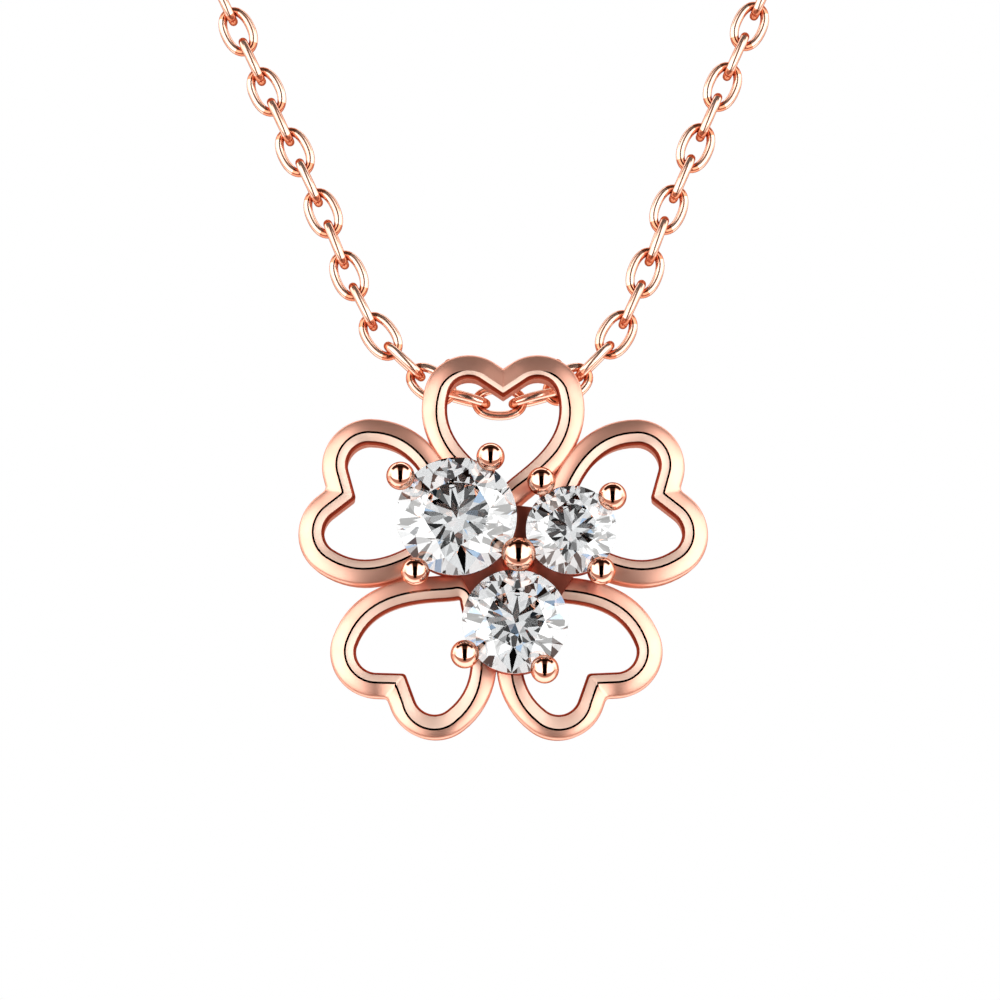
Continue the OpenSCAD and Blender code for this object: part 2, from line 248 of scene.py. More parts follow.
def polishing_group():
    """Fine polishing: hairline marks, soft waviness and a slight change of colour and gloss."""
    group, given, made = node_group(
        "polishing",
        [("Mark Size", "NodeSocketFloat", 9000.0), ("Gloss", "NodeSocketFloat", 0.08),
         ("Gloss Change", "NodeSocketFloat", 0.05), ("Mark Depth", "NodeSocketFloat", 0.02),
         ("Metal", "NodeSocketColor", (0.93, 0.6, 0.47, 1)),
         ("Warm Metal", "NodeSocketColor", (0.9, 0.55, 0.42, 1))],
        [("Colour", "NodeSocketColor"), ("Roughness", "NodeSocketFloat"),
         ("Normal", "NodeSocketVector")],
    )
    given = given.outputs
    place = add(group, "TexCoord").outputs["Object"]
    marks = add(group, "TexNoise", Vector=place, Scale=given["Mark Size"], Detail=3.0)
    broad = add(group, "Math", operation="MULTIPLY", i0=given["Mark Size"], i1=WAVE_SHARE)
    waves = add(group, "TexNoise", Vector=place, Scale=broad.outputs[0], Detail=2.0).outputs["Fac"]
    change = add(group, "Math", operation="MULTIPLY", i0=waves, i1=given["Gloss Change"])
    rough = add(group, "Math", operation="ADD", i0=change.outputs[0], i1=given["Gloss"])
    tint = add(group, "MapRange", i0=waves, i1=0.35, i2=0.75)
    colour = add(group, "Mix", data_type="RGBA", i0=tint.outputs[0], i6=given["Metal"],
                 i7=given["Warm Metal"])
    bump = add(group, "Bump", Strength=given["Mark Depth"], Distance=MARK_HEIGHT,
               Height=marks.outputs["Fac"])
    group.links.new(colour.outputs[2], made.inputs["Colour"])
    group.links.new(rough.outputs[0], made.inputs["Roughness"])
    group.links.new(bump.outputs[0], made.inputs["Normal"])
    return group


POLISHING = polishing_group()


def new_material(name):
    material = bpy.data.materials.new(name)
    material.use_nodes = True
    return material, material.node_tree, material.node_tree.nodes["Principled BSDF"]


def rose_gold(name, metallic=1.0, **values):
    """Rose gold, with the values that the polishing group has in this finish.

    A satin finish scatters some of its light, so its `metallic` share is lower."""
    material, tree, shader = new_material(name)
    polish = tree.nodes.new("ShaderNodeGroup")
    polish.node_tree = POLISHING
    for key, value in values.items():
        polish.inputs[key.replace("_", " ")].default_value = value
    shader.inputs["Metallic"].default_value = metallic
    shader.inputs["Specular Tint"].default_value = COPPER_TINT
    tree.links.new(polish.outputs["Colour"], shader.inputs["Base Color"])
    tree.links.new(polish.outputs["Roughness"], shader.inputs["Roughness"])
    tree.links.new(polish.outputs["Normal"], shader.inputs["Normal"])
    return material


def clear_stone(name):
    """A colourless brilliant: clear, of high refraction, with the faintest polish haze."""
    material, tree, shader = new_material(name)
    shader.inputs["Base Color"].default_value = (1, 1, 1, 1)
    shader.inputs["Transmission Weight"].default_value = 1.0
    shader.inputs["IOR"].default_value = 2.4
    place = add(tree, "TexCoord")
    haze = add(tree, "TexNoise", Vector=place.outputs["Object"], Scale=2500.0)
    faint = add(tree, "MapRange", i0=haze.outputs["Fac"], i1=0.5, i2=0.9, i3=0.0, i4=0.004)
    tree.links.new(faint.outputs[0], shader.inputs["Roughness"])
    return material


SATIN_GOLD = rose_gold(
    "satin_rose_gold", 0.84, Gloss=0.3, Gloss_Change=0.08,
    Metal=(0.94, 0.53, 0.41, 1), Warm_Metal=(0.9, 0.48, 0.36, 1))
# The crest's near-black colour is a painted reflection: it stands for the dark gap that the crest
# mirrors, and stays dark from every side
CREST_DARK_REFLECTION_GOLD = rose_gold(
    "polished_crest_painted_dark_reflection", Gloss=0.02, Gloss_Change=0.02, Mark_Depth=0.0,
    Metal=(0.2, 0.09, 0.06, 1), Warm_Metal=(0.15, 0.06, 0.04, 1))
# Brushed inner slope: its rougher polish is real, but its paler cream colour is painted light,
# standing for the bright tent it faces
BRUSHED_PAINTED_LIGHT_GOLD = rose_gold(
    "brushed_rose_gold_inside_painted_light", 0.5, Gloss=0.42, Gloss_Change=0.08,
    Metal=(0.97, 0.74, 0.62, 1), Warm_Metal=(0.96, 0.69, 0.57, 1))
# Painted shade: the inner walls, which face down into each heart's opening, get a darker copper
# colour for the shade that falls there
SHADED_GOLD = rose_gold(
    "painted_shade_inner_wall", 0.6, Gloss=0.3, Gloss_Change=0.1,
    Metal=(0.84, 0.46, 0.36, 1), Warm_Metal=(0.74, 0.36, 0.27, 1))
BEAD_GOLD = rose_gold(
    "polished_rose_gold_beads", Gloss=0.03, Gloss_Change=0.03, Mark_Depth=0.0)
# Painted shade: a thin dark red line along each heart's inner edge, for the shade and copper-red
# bounced light where the front turns into the wall
EDGE_SHADE_GOLD = rose_gold(
    "painted_dark_red_shade_inner_edge", Gloss=0.3, Gloss_Change=0.1,
    Metal=(0.3, 0.06, 0.035, 1), Warm_Metal=(0.24, 0.045, 0.025, 1))
# Painted shade: the gallery and prong posts sit in the recess under the stones, so their metal is
# painted dark red-brown for the shade that falls there
RECESS_SHADE_GOLD = rose_gold(
    "painted_recess_shade_gallery_and_posts", 0.7, Gloss=0.25, Gloss_Change=0.1,
    Metal=(0.56, 0.17, 0.12, 1), Warm_Metal=(0.46, 0.11, 0.07, 1))
CHAIN_GOLD = rose_gold(
    "polished_rose_gold_links", 0.88, Gloss=0.16, Gloss_Change=0.08, Mark_Depth=0.0,
    Metal=(0.95, 0.7, 0.57, 1), Warm_Metal=(0.9, 0.54, 0.4, 1))
# Painted shade: the link ends, where links meet, get a darker copper colour for the shade that
# falls between them
LINK_END_SHADE_GOLD = rose_gold(
    "painted_shade_link_ends", 0.9, Gloss=0.1, Gloss_Change=0.08, Mark_Depth=0.0,
    Metal=(0.72, 0.3, 0.18, 1), Warm_Metal=(0.6, 0.2, 0.11, 1))
STONE = clear_stone("clear_brilliant_stone")


# ---- Making pieces ----
def skin(form, rings, close=True, finishes=None):
    """Faces over rings of equal length, joined end to end, or capped.

    `finishes` gives each face's place in the piece's list of finishes, by its column and ring."""
    made = [[form.verts.new(p) for p in ring] for ring in rings]
    count, n = len(made), len(made[0])
    for i in range(count if close else count - 1):
        a, b = made[i], made[(i + 1) % count]
        for j in range(n):
            k = (j + 1) % n
            face = form.faces.new((a[j], a[k], b[k], b[j]))
            face.material_index = finishes(j, i) if finishes else 0
    if not close:
        form.faces.new(made[0][::-1])
        form.faces.new(made[-1])


def face_outwards(form):
    bmesh.ops.recalc_face_normals(form, faces=form.faces[:])


def as_object(name, form):
    mesh = bpy.data.meshes.new(name)
    form.to_mesh(mesh)
    form.free()
    made = bpy.data.objects.new(name, mesh)
    bpy.context.scene.collection.objects.link(made)
    return made


def piece(name, form, finishes, body, stands_for=(), smooth=True, crease=50):
    """Turns the form into an object in place, which rides on the body."""
    face_outwards(form)
    for face in form.faces:
        face.smooth = smooth
    if smooth:
        for edge in form.edges:
            if len(edge.link_faces) == 2 and (
                edge.calc_face_angle() > math.radians(crease)
                or edge.link_faces[0].material_index != edge.link_faces[1].material_index
            ):
                edge.smooth = False
    made = as_object(name, form)
    for finish in finishes:
        made.data.materials.append(finish)
    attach(made, body)
    if stands_for:
        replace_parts(made, *stands_for)
    return made


def hang(name, form, finishes, stands_for=(), crease=50):
    """A metal piece of the flower, moved from the flower's frame to where the pendant hangs."""
    bmesh.ops.transform(form, matrix=HUNG, verts=form.verts[:])
    piece(name, form, finishes, "pendant", stands_for, crease=crease)


def circle(steps):
    """The turns of equal steps round a circle."""
    return [math.tau * i / steps for i in range(steps)]


def moved(rings, place):
    return [[place @ p for p in ring] for ring in rings]


def raised(at, height):
    """Moves a form from the origin to a place on the flower, at a height."""
    return Matrix.Translation((at.x, at.y, height))


def turned(profile, steps):
    """Rings of a closed profile of (radius, height) turned about Z."""
    return [[Vector((r * math.cos(t), r * math.sin(t), h)) for r, h in profile]
            for t in circle(steps)]


def tube(points, radii, sides):
    """Rings along a straight post, wide or narrow as the radii say."""
    turn = (points[-1] - points[0]).normalized().to_track_quat("Z", "Y")
    return [[p + turn @ Vector((r * math.cos(t), r * math.sin(t), 0)) for t in circle(sides)]
            for p, r in zip(points, radii)]


# A seat's foot can't be a point, so it has this radius
SEAT_FOOT_R = 0.002
# How far a hole is cut above and below the girdle
HOLE_REACH = 2


def seat_profile(r):
    """The room that a stone takes in the metal, with the gap that a setter leaves."""
    r += SEAT_GAP
    foot, edge, crown = -PAVILION_SHARE * r - SEAT_ROOM, GIRDLE_SHARE * r, CROWN_SHARE * r
    return [(SEAT_FOOT_R, foot), (r, -edge), (r, edge), (TABLE_SHARE * r, crown + SEAT_ROOM)]


def hole_profile(r):
    """The opening under a stone in the web between the rails."""
    wall = r - RAIL_IN - RAIL_W / 2
    return [(wall, -HOLE_REACH), (wall, HOLE_REACH)]


def cutter(profile):
    """One tool that cuts the same kind of room for all three stones."""
    form = bmesh.new()
    for stone, (diameter, _) in STONES.items():
        rings = zip(*turned(profile(diameter / 2), CUTTER_SIDES))
        skin(form, moved(rings, raised(stone_place(stone), GIRDLE_H)), close=False)
    face_outwards(form)
    return as_object("cutter", form)


def drop(thing):
    mesh = thing.data
    bpy.data.objects.remove(thing)
    bpy.data.meshes.remove(mesh)


def add_less(whole, part, profile=seat_profile):
    """Cuts the stones' seats, or other rooms, out of one closed part and adds what is left."""
    face_outwards(part)
    tool, blank = cutter(profile), as_object("blank", part)
    cut = blank.modifiers.new("cut", "BOOLEAN")
    cut.operation, cut.solver, cut.object = "DIFFERENCE", "EXACT", tool
    bpy.context.view_layer.update()
    left = blank.evaluated_get(bpy.context.evaluated_depsgraph_get())
    whole.from_mesh(left.to_mesh())
    left.to_mesh_clear()
    drop(tool)
    drop(blank)


# ---- Heart bands ----
LOBE_STEPS = 26
SIDE_STEPS = 24
TIP_STEPS = 6
# The band's front: a narrow flat crest, then slopes out and in. Each stretch is an arc, with its
# slope at its start and end, its width and its number of steps.
CREST_IN = 0.07
CREST_W = 0.07
OUTER = [(12, 27, 0.37, 10), (27, 89, 0.095, 6)]
INNER = [(12, 32, 0.235, 8), (32, 89, 0.09, 5)]
BACK_ROUND = 0.1
# The back's width as a share of the front's. A wider back meets the chain as the pendant swings.
BACK_SHARE = 0.86
# Finishes along the section, by their place in the piece's list of finishes: satin, a crest painted
# dark as a reflection, a brushed slope painted paler as light, and painted shade on the inner wall
# and inner edge
SATIN, CREST, BRUSHED_PAINTED_LIGHT, SHADED, EDGE_SHADE = range(5)
# Rounding of a heart's notch, and how much it grows per millimetre out and shrinks per
# millimetre in from the band's middle
NOTCH_ROUND = 0.05
NOTCH_OUT = 0.22
NOTCH_IN = 0.12
NOTCH_STEPS = 3
# Length over which the crest's drop fades out towards a heart's point
DROP_FADE = 1.6
# Where the crest of the top heart runs out, as angles on its lobe, and its least share of width
CREST_ENDS = (8, 32)
LEAST_CREST = 0.02


def bezier(a, b, c, d, t):
    return a * (1 - t) ** 3 + b * 3 * t * (1 - t) ** 2 + c * 3 * t * t * (1 - t) + d * t ** 3


def band_section(crest=1.0, shift=0.0):
    """The band's section as (offset outwards, height), from the crest out, round the back and in.

    The crest lies inwards of the band's middle, moved outwards by `shift`, and `crest` is its share
    of its full width."""
    def slope(stretches, way):
        at, height = -CREST_IN + shift + way * CREST_W / 2 * crest, BAND_D / 2
        spare = CREST_W / 2 * (1 - crest) - way * shift
        points = [(at, height)]
        for first, last, width, steps in stretches:
            turns = [math.radians(first + (last - first) * i / steps) for i in range(steps + 1)]
            radius = (width + spare) / (math.sin(turns[-1]) - math.sin(turns[0]))
            spare = 0
            for a, b in zip(turns, turns[1:]):
                at += way * radius * (math.sin(b) - math.sin(a))
                height -= radius * (math.cos(a) - math.cos(b))
                points.append((at, height))
        return points

    outer, inner = slope(OUTER, 1), slope(INNER, -1)
    out_at, in_at, back = outer[-1][0], inner[-1][0], -BAND_D / 2
    corner = [(BACK_ROUND * (1 - math.cos(t)), BACK_ROUND * (1 - math.sin(t)))
              for t in map(math.radians, CORNER_TURNS)]
    out_wall = [(BACK_SHARE * out_at - d, back + h) for d, h in corner]
    in_wall = [(BACK_SHARE * in_at + d, back + h) for d, h in corner][::-1]
    return outer + out_wall + in_wall + inner[::-1]


def band_finishes():
    """The finish of the stretch after each point of the band's section."""
    outer_steps = sum(steps for *_, steps in OUTER)
    (*_, slope_steps), (*_, edge_steps) = INNER
    corner = len(CORNER_TURNS)
    return ([SATIN] * (1 + outer_steps + corner) + [SHADED] * corner
            + [EDGE_SHADE] * edge_steps + [BRUSHED_PAINTED_LIGHT] * slope_steps + [CREST])


def flip(v):
    return Vector((v.x, -v.y))


def half_heart():
    """Half of the band's middle line, on a heart that points along X.

    Gives the notch, the angles of the points on the lobe, and all points from there to the tip."""
    lobe_u = PETAL_REACH - BAND_W / 2 - LOBE_R
    lobe_v = PETAL_WIDTH / 2 - BAND_W / 2 - LOBE_R - SIDE_BULGE
    notch = Vector((lobe_u + LOBE_R - NOTCH_D, 0))
    reach = notch - Vector((lobe_u, lobe_v))
    start = math.degrees(math.atan2(reach.y, reach.x) + math.acos(LOBE_R / reach.length))
    turns = [start + (SHOULDER - start) * i / LOBE_STEPS for i in range(LOBE_STEPS + 1)]
    lobe = [Vector((lobe_u, lobe_v)) + polar(a, LOBE_R) for a in turns]
    tip_centre = Vector((PETAL_TIP + TIP_R, 0))
    span = lobe_u - PETAL_TIP
    low = tip_centre + polar(90 + TIP_TURN, TIP_R)
    side = [bezier(lobe[-1], lobe[-1] + polar(SHOULDER + 90, SIDE_TOP_PULL * span),
                   low + polar(TIP_TURN, SIDE_TIP_PULL * span), low, i / SIDE_STEPS)
            for i in range(1, SIDE_STEPS + 1)]
    tip = [tip_centre + polar(90 + TIP_TURN + (90 - TIP_TURN) * i / TIP_STEPS, TIP_R)
           for i in range(1, TIP_STEPS + 1)]
    return notch, turns, lobe + side + tip


def heart_rings(turn, drops, roundness, crest_ends=None):
    """Rings of the band round a heart that points along X.

    `turn` is the turn, in radians, that will bring it to its place, `drops` says how far the crest
    of each half lies lower on the flower then, `roundness` is the notch's, and `crest_ends` are the
    angles on the lobe between which the crest grows to its full width."""
    notch, turns, line = half_heart()
    crests = [1.0] * len(line)
    if crest_ends:
        none, full = crest_ends
        for i, a in enumerate(turns):
            crests[i] = min(max((a - none) / (full - none), LEAST_CREST), 1.0)

    half = []
    for i, at in enumerate(line):
        before = line[i - 1] if i else notch
        along = Vector((0, -1)) if i == len(line) - 1 else (line[i + 1] - before).normalized()
        half.append((at, Vector((along.y, -along.x)), crests[i]))
    along = (line[0] - notch).normalized()

    def ring(place, out, crest, half_share):
        up = out.x * math.sin(turn) + out.y * math.cos(turn)
        lower = drops[0] * (1 - half_share) + drops[1] * half_share
        lower *= min((place(0).x - PETAL_TIP) / DROP_FADE, 1)
        return [place(u).to_3d() + Vector((0, 0, h)) for u, h in band_section(crest, -lower * up)]

    def round_notch(t):
        out = Vector((along.y, -along.x))

        def place(u):
            corner = notch + Vector((u / along.y, 0))
            room = (NOTCH_ROUND + (NOTCH_OUT if u > 0 else -NOTCH_IN) * u) * roundness
            return corner + room * (along * (1 - t) ** 2 + flip(along) * t * t)
        return ring(place, (out * (1 - t) + flip(out) * t).normalized(), crests[0], t)

    def across(at, out, crest, half_share):
        return ring(lambda u: at + u * out, out, crest, half_share)

    rings = [round_notch(0.5 - 0.5 * k / NOTCH_STEPS) for k in range(NOTCH_STEPS + 1)]
    rings += [across(*p, 0) for p in half]
    rings += [across(flip(at), flip(out), crest, 1) for at, out, crest in half[-2::-1]]
    return rings + [round_notch(1 - 0.5 * k / NOTCH_STEPS) for k in range(NOTCH_STEPS)]


def make_petals():
    form = bmesh.new()
    finishes = band_finishes()
    for name, angle, long, wide, lean, (shift_x, shift_y), drops, roundness in PETALS:
        place = (
            Matrix.Translation((shift_x * PETAL_REACH, shift_y * PETAL_REACH, 0))
            @ Matrix.Rotation(math.radians(angle), 4, "Z")
            @ Matrix.Rotation(math.radians(PETAL_LEAN + lean), 4, "Y")
            @ Matrix.Diagonal((long, wide, 1, 1))
        )
        crest_ends = CREST_ENDS if name == "top" else None
        rings = heart_rings(math.radians(angle), drops, roundness, crest_ends)
        petal = bmesh.new()
        skin(petal, moved(rings, place), finishes=lambda j, _: finishes[j])
        add_less(form, petal)
    hang("heart_bands", form, [SATIN_GOLD, CREST_DARK_REFLECTION_GOLD, BRUSHED_PAINTED_LIGHT_GOLD, SHADED_GOLD, EDGE_SHADE_GOLD],
         ["pendant_frame"], crease=35)


make_petals()

# ---- Gallery, prongs and bail loops ----
# Steps round each of the web's three corners
WEB_STEPS = 6


def rounded_box(low_r, high_r, low_h, high_h, r):
    """A box's profile with rounded corners."""
    corners = [(high_r - r, high_h - r, 0), (low_r + r, high_h - r, 90),
               (low_r + r, low_h + r, 180), (high_r - r, low_h + r, 270)]
    return [(u + r * math.cos(math.radians(a + t)), h + r * math.sin(math.radians(a + t)))
            for u, h, a in corners for t in CORNER_TURNS]


def web_outline():
    """The outline of the web, round the places of the three stones and outside them."""
    corners = [stone_place(stone) for stone in STONES]
    outline = []
    for i, at in enumerate(corners):
        before, after = at - corners[i - 1], corners[(i + 1) % len(corners)] - at
        first = math.degrees(math.atan2(-before.x, before.y))
        last = math.degrees(math.atan2(-after.x, after.y))
        sweep = (last - first) % 360
        outline += [at + polar(first + sweep * k / WEB_STEPS, WEB_OUT)
                    for k in range(WEB_STEPS + 1)]
    return outline


def make_gallery():
    form = bmesh.new()
    for stone, (diameter, _) in STONES.items():
        out = diameter / 2 - RAIL_IN
        profile = rounded_box(out - RAIL_W, out, BAND_D / 2 - RAIL_H, BAND_D / 2, RAIL_ROUND)
        skin(form, moved(turned(profile, RAIL_STEPS), raised(stone_place(stone), 0)))
    low = BAND_D / 2 - (RAIL_H + WEB_H) / 2
    outline = web_outline()
    web = bmesh.new()
    skin(web, [[Vector((*p, h)) for p in outline] for h in (low, low + WEB_H)], close=False)
    add_less(form, web, hole_profile)
    hang("gallery_rails", form, [RECESS_SHADE_GOLD])


def make_prongs():
    beads, posts = bmesh.new(), bmesh.new()
    wanted = [(SHARED_PRONG, SHARED_PRONG, SHARED_BEAD_R, SHARED_FOOT_R)]
    for stone, angle, out in PRONGS:
        centre = stone_place(stone)
        at = centre + polar(angle, STONES[stone][0] / 2 + out * BEAD_R)
        wanted.append((at, at + FOOT_LEAN * (centre - at), BEAD_R, POST_R))
    shares = (0, 0.25, 0.5, 0.75, 1)
    for at, foot, bead, foot_r in wanted:
        head = Vector((at.x, at.y, GIRDLE_H + BEAD_RISE))
        base = Vector((foot.x, foot.y, -BAND_D / 4))
        post, ball = bmesh.new(), bmesh.new()
        skin(post, tube([base.lerp(head, s) for s in shares],
                        [foot_r + (POST_R - foot_r) * s for s in shares], POST_SIDES), close=False)
        bmesh.ops.create_uvsphere(ball, u_segments=BEAD_STEPS[0], v_segments=BEAD_STEPS[1],
                                  radius=bead, matrix=Matrix.Translation(head))
        add_less(posts, post)
        add_less(beads, ball)
    hang("beads", beads, [BEAD_GOLD], crease=30)
    hang("prong_posts", posts, [RECESS_SHADE_GOLD], crease=30)


def make_bail_loops():
    form = bmesh.new()
    middle = BAIL_R + BAIL_WIRE / 2
    wire = [(middle + BAIL_WIRE / 2 * math.cos(t), BAIL_WIRE / 2 * math.sin(t))
            for t in circle(BAIL_SIDES)]
    for side in (-1, 1):
        place = (
            Matrix.Translation(
                (BAIL_X + side * (PETAL_WIDTH / 2 - BAIL_INSET), BAIL_H, -BAIL_BACK))
            @ Matrix.Rotation(math.radians(side * BAIL_SLANT), 4, "Z")
            @ Matrix.Rotation(math.radians(90), 4, "Y")
        )
        skin(form, moved(turned(wire, BAIL_STEPS), place))
    hang("bail_loops", form, [CHAIN_GOLD])


make_gallery()
make_prongs()
make_bail_loops()

# ---- Stones, cut facet by facet from a round blank ----
# Points nearer to a facet's plane than this already lie on it
ON_FACET = 1e-5


def cut_facet(form, a, b, c):
    """Grinds a flat facet through three points and closes the stone again."""
    flat = (b - a).cross(c - a).normalized()
    if flat.dot(a) < 0:
        flat = -flat
    parts = form.verts[:] + form.edges[:] + form.faces[:]
    done = bmesh.ops.bisect_plane(form, geom=parts, plane_co=a, plane_no=flat, clear_outer=True,
                                  dist=ON_FACET)
    rim = [e for e in done["geom_cut"] if isinstance(e, bmesh.types.BMEdge)]
    if rim:
        bmesh.ops.contextual_create(form, geom=rim)


def round_brilliant(diameter):
    """A stone of 57 facets: a table, and on crown and pavilion facets that repeat eight times."""
    r = diameter / 2
    crown, edge, depth = CROWN_SHARE * r, GIRDLE_SHARE * r, PAVILION_SHARE * r
    table, star, lower = TABLE_SHARE * r, STAR_SHARE * r, LOWER_SHARE * r
    flat = math.cos(math.radians(22.5))
    star_h = crown - (star * flat - table) / (r - table) * (crown - edge)
    lower_h = -edge - (depth - edge) * (1 - lower * flat / r)

    def at(angle, reach, height):
        return Vector((*polar(angle, reach), height))

    form = bmesh.new()
    bmesh.ops.create_cone(form, cap_ends=True, cap_tris=False, segments=BLANK_SIDES, radius1=r,
                          radius2=r, depth=2 * depth)
    cut_facet(form, at(0, table, crown), at(120, table, crown), at(240, table, crown))
    for k in range(8):
        a = 45 * k
        cut_facet(form, at(a, table, crown), at(a, r, edge), at(a + 22.5, star, star_h))
        cut_facet(form, at(a, r, -edge), at(0, 0, -depth), at(a + 22.5, lower, lower_h))
        cut_facet(form, at(a, table, crown), at(a + 45, table, crown), at(a + 22.5, star, star_h))
        for side in (0, 1):
            first, last = a + 22.5 * side, a + 22.5 * side + 22.5
            for height, inner in ((edge, at(a + 22.5, star, star_h)),
                                  (-edge, at(a + 22.5, lower, lower_h))):
                cut_facet(form, at(first, r, height), at(last, r, height), inner)
    return form


def make_stones():
    for stone, (diameter, _) in STONES.items():
        form = round_brilliant(diameter)
        place = (HUNG @ raised(stone_place(stone), GIRDLE_H)
                 @ Matrix.Rotation(math.radians(STONE_TURN[stone]), 4, "Z"))
        bmesh.ops.transform(form, matrix=place, verts=form.verts[:])
        piece(f"{stone}_brilliant", form, [STONE], "pendant", [f"stone_{stone}"],
              smooth=False)


make_stones()

# ---- Chain ----
ROUTE_STEPS = 8
# The route's first and last stretch have no neighbour, so its length counts as this
LEAST_STEP = 0.001


def smooth_line(points):
    """The route's points joined by smooth curves, as the chain's own middle line."""
    line = []
    for i in range(len(points) - 1):
        a, d = points[max(i - 1, 0)], points[min(i + 2, len(points) - 1)]
        b, c = points[i], points[i + 1]
        step = (c - b).length
        before, after = max((b - a).length, LEAST_STEP), max((d - c).length, LEAST_STEP)
        out = ((c - b) / step + (b - a) / before) * step / 2
        into = ((d - c) / after + (c - b) / step) * step / 2
        line += [bezier(b, b + out / 3, c - into / 3, c, k / ROUTE_STEPS)
                 for k in range(ROUTE_STEPS)]
    return line + [points[-1]]


RIGHT = [Vector(p) for p in ROUTE]
LEFT = [Vector((-p.x - wider, p.y, p.z)) for p, wider in zip(RIGHT, LEFT_WIDER)]
LINE = smooth_line(LEFT[:0:-1] + RIGHT)
# How far along the line each of its points lies, and where the middle of the sag does
RUN = [0.0]
for first, last in zip(LINE, LINE[1:]):
    RUN.append(RUN[-1] + (last - first).length)
MIDDLE_RUN = RUN[(len(ROUTE) - 1) * ROUTE_STEPS]


def on_route(s):
    """The point at a distance s along the chain from the middle of its sag."""
    s += MIDDLE_RUN
    i = next((k for k in range(1, len(RUN)) if RUN[k] >= s), len(RUN) - 1)
    return LINE[i - 1].lerp(LINE[i], (s - RUN[i - 1]) / (RUN[i] - RUN[i - 1]))


def oval_link(around, wire_sides):
    """Rings of one oval link, long along X, with its flat face towards Z."""
    outside = LINK_PITCH + 2 * LINK_WIRE + LINK_SLACK
    long, wide = (outside - LINK_WIRE) / 2, (LINK_W - LINK_WIRE) / 2
    nearby = 0.01

    def oval(t):
        c, s = math.cos(t), math.sin(t)
        return Vector((long * math.copysign(abs(c) ** LINK_FULLNESS, c),
                       wide * math.copysign(abs(s) ** LINK_FULLNESS, s), 0))

    rings = []
    for i in range(around):
        t = math.tau * (i + 0.5) / around
        along = (oval(t + nearby) - oval(t - nearby)).normalized()
        out = Vector((along.y, -along.x, 0))
        rings.append([
            oval(t) + LINK_WIRE / 2 * (math.cos(b) * out + math.sin(b) * Vector((0, 0, 1)))
            for b in circle(wire_sides)])
    return rings


def add_link(form, rings, place):
    """One link, with painted shade in a darker copper at its ends, where it meets its neighbours.
    """
    def finish(_, i):
        return int(abs(math.cos(math.tau * (i + 1) / len(rings))) > LINK_END)
    skin(form, moved(rings, place), finishes=finish)


def frame_at(s, half_step, front=None):
    """Where a link stands: X along the strand and Z as near `front` as the strand lets it."""
    way = (on_route(s + half_step) - on_route(s - half_step)).normalized()
    side = (Vector((0, -1, 0)) if front is None else front).cross(way).normalized()
    return on_route(s), way, side, way.cross(side)


def placed(at, way, side, front, roll):
    turn = Matrix((way, side, front)).transposed().to_4x4()
    rolled = Matrix.Rotation(math.radians(roll), 4, "X")
    return Matrix.Scale(MM, 4) @ Matrix.Translation(at) @ turn @ rolled


def quarter(i):
    """Every second link stands a quarter turn from its neighbours."""
    return 90 if i % 2 else 0


def make_front_links():
    form = bmesh.new()
    rings = oval_link(*FRONT_LINK_STEPS)
    for i in range(-FRONT_LINKS, FRONT_LINKS + 1):
        stand = frame_at(i * LINK_PITCH, LINK_PITCH / 2)
        add_link(form, rings, placed(*stand, LINK_ROLL + quarter(i)))
    piece("front_links", form, [CHAIN_GOLD, LINK_END_SHADE_GOLD], "chain", ["chain_front"])


def make_back_links(side):
    """The links of one side from the front stretch to the clasp's eye.

    They turn as little as they can on the way, and the last one lies level."""
    form = bmesh.new()
    rings = oval_link(*BACK_LINK_STEPS)
    whole = MIDDLE_RUN if side < 0 else RUN[-1] - MIDDLE_RUN
    start = FRONT_LINKS * LINK_PITCH
    pitch = (whole - LAST_LINK_FROM_NAPE - start) / (LAST_LINK - FRONT_LINKS)
    front = frame_at(side * start, LINK_PITCH / 2)[3]
    frames = []
    for i in range(1, LAST_LINK - FRONT_LINKS + 1):
        at = frame_at(side * (start + i * pitch), pitch / 2, front)
        front = at[3]
        frames.append(at)
    _, _, across, front = frames[-1]
    level = Vector((0, -1, 0))
    twist = math.degrees(math.atan2(level.dot(across), level.dot(front)))
    for i, at in enumerate(frames):
        roll = LINK_ROLL * (1 - (i + 1) / len(frames)) - twist * (i + 1) / len(frames)
        add_link(form, rings, placed(*at, roll + quarter(i)))
    name = "left" if side < 0 else "right"
    return piece(f"{name}_back_links", form, [CHAIN_GOLD, LINK_END_SHADE_GOLD], "chain")


make_front_links()
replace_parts(make_back_links(1), "chain_back")
make_back_links(-1)
clasp_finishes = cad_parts["clasp"].data.materials
clasp_finishes.clear()
clasp_finishes.append(CHAIN_GOLD)

# ---- Studio ----
# The tent's darker parts, seen from the flower, in radians: how far they reach to either side (3 is
# all round), from which height to which, how soft their edges are, and the share of light left
SHADES = [
    (3.0, -3.3, -0.62, 0.06, 0.6),      # low, in front and behind
    (3.0, -1.25, -0.56, 0.13, 0.3),     # low in front
    (1.1, -3.3, -2.3, 0.2, 0.45),       # behind, below the middle
    (1.1, 2.3, 3.3, 0.2, 0.35),         # behind, above the middle
    (1.0, 1.0, 2.0, 0.15, 0.6),         # overhead
    (0.42, 0.15, 1.5, 0.08, 0.6),       # a soft border of the gap's upper half
    (0.31, -0.55, 0.8, 0.03, 0.0),      # the gap where the camera stands
    (0.2, -0.95, -0.45, 0.06, 0.0),     # the gap's narrower foot
    (0.31, 0.75, 1.5, 0.05, 0.03),      # from the gap up to the opening
    (0.9, 1.3, 2.05, 0.06, 0.03),       # the dark opening overhead
]
# The dark middle that the stones see in front of them, in the same terms
CORE = (0.13, -0.13, 0.13, 0.02, 0.1)
PANEL_SCALE = 10.0
FLOOR_SIZE = 2.0
FLOOR_Z = -0.32


